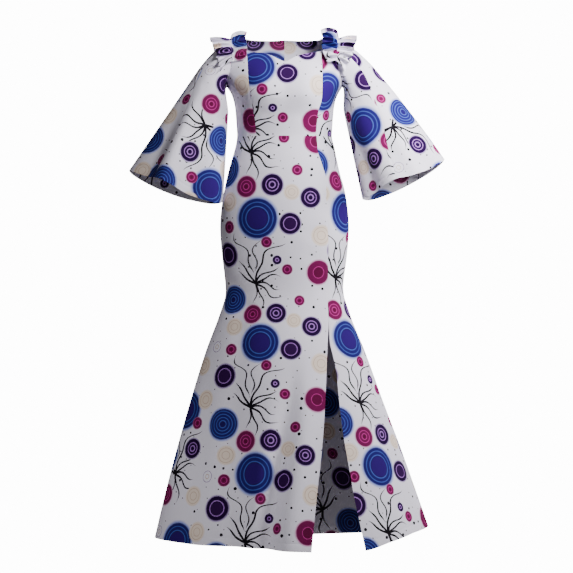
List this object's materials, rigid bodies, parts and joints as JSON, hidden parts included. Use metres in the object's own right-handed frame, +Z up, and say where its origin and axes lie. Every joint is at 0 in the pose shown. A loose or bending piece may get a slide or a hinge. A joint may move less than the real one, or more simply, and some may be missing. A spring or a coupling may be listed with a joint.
{
  "type": "ankara wax print dress",
  "caption": "Floor-length fitted dress in printed cotton, flared below the knee with a front slit, bell sleeves and gathered shoulder ruffles, filled out and hollow.",
  "frame": {"origin": "midway between the two shoulder straps, at the height where they rest on the wearer's shoulders", "axes": "+Z up the wearer's back, -Y the front, +X the wearer's left"},
  "size_m": [0.9094, 0.5901, 1.5094],
  "materials": {
    "printed_cotton": "matte plain weave cotton, printed with blue, purple, magenta and beige discs, dots and black twigs on white"
  },
  "bodies": {
    "root": {"bodice_centre_front": "printed_cotton", "bodice_side_front_right": "printed_cotton", "bodice_side_front_left": "printed_cotton", "bodice_back_right": "printed_cotton", "bodice_back_left": "printed_cotton", "skirt_front_main": "printed_cotton", "skirt_front_side": "printed_cotton", "skirt_back_right": "printed_cotton", "skirt_back_left": "printed_cotton", "sleeve_right": "printed_cotton", "sleeve_left": "printed_cotton", "ruffle_right": "printed_cotton", "ruffle_left": "printed_cotton"}
  },
  "joints": []
}
